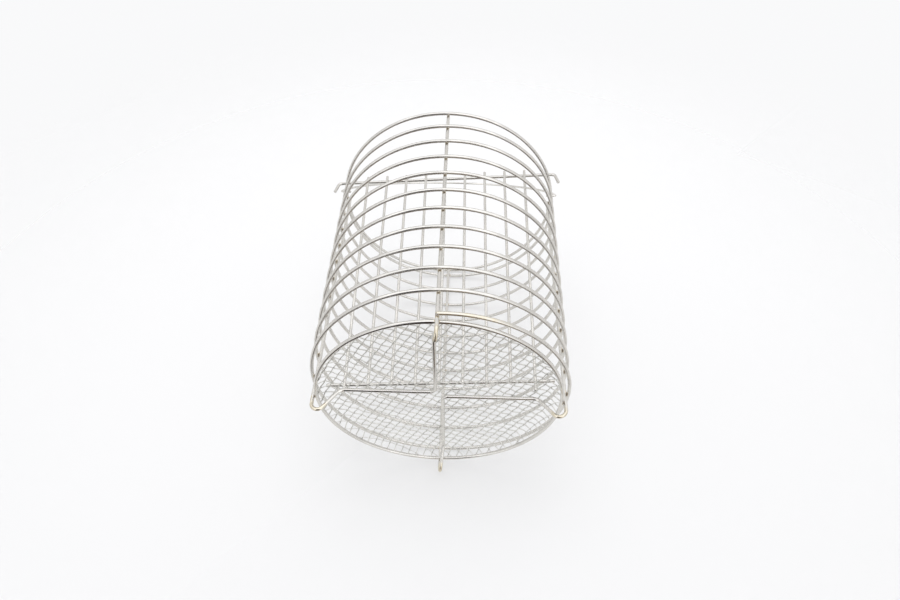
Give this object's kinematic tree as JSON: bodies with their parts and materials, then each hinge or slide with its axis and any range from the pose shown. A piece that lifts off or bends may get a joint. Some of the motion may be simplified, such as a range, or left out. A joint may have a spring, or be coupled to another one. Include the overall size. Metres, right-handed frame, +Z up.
{
  "type": "autoclave basket",
  "caption": "Round open wire basket on four feet, with a woven bottom, a loose grid divider and a swinging wire handle, for loading a vertical steam sterilizer.",
  "frame": {"origin": "on the floor the four feet stand on, at the basket's axis", "axes": "+Z up the basket's axis to its open rim, -Y to the foot where the wall coil starts, +X to the right-hand foot seen from there"},
  "size_m": [0.2212, 0.208, 0.3406],
  "materials": {
    "polished_wire": "bright drawn stainless wire, heat-tinted brown at the welds and foot bends",
    "woven_mesh": "fine woven stainless wire, slightly dull",
    "divider_wire": "bright drawn stainless wire",
    "bail_wire": "bright drawn stainless wire"
  },
  "bodies": {
    "basket": {"wall_turn_1": "polished_wire", "wall_turn_2": "polished_wire", "wall_turn_3": "polished_wire", "wall_turn_4": "polished_wire", "wall_turn_5": "polished_wire", "wall_turn_6": "polished_wire", "wall_turn_7": "polished_wire", "wall_turn_8": "polished_wire", "wall_turn_9": "polished_wire", "wall_turn_10": "polished_wire", "wall_turn_11": "polished_wire", "rim_ring": "polished_wire", "foot_wire_left_front": "polished_wire", "foot_wire_right_back": "polished_wire", "bottom_ring": "polished_wire", "bottom_mesh": "woven_mesh", "divider_upper_bar": "divider_wire", "divider_lower_bar": "divider_wire", "divider_wire_1": "divider_wire", "divider_wire_2": "divider_wire", "divider_wire_3": "divider_wire", "divider_wire_4": "divider_wire", "divider_wire_5": "divider_wire", "divider_wire_6": "divider_wire", "divider_wire_7": "divider_wire", "divider_wire_8": "divider_wire", "divider_wire_9": "divider_wire"},
    "handle": {"bail_handle": "bail_wire"}
  },
  "joints": [
    {"name": "bail_pivot", "type": "hinge", "parent": "basket", "child": "handle", "pos_m": [0, -0.0117, 0.2477], "axis": [1, 0, 0], "range_deg": [-44, 48]}
  ]
}
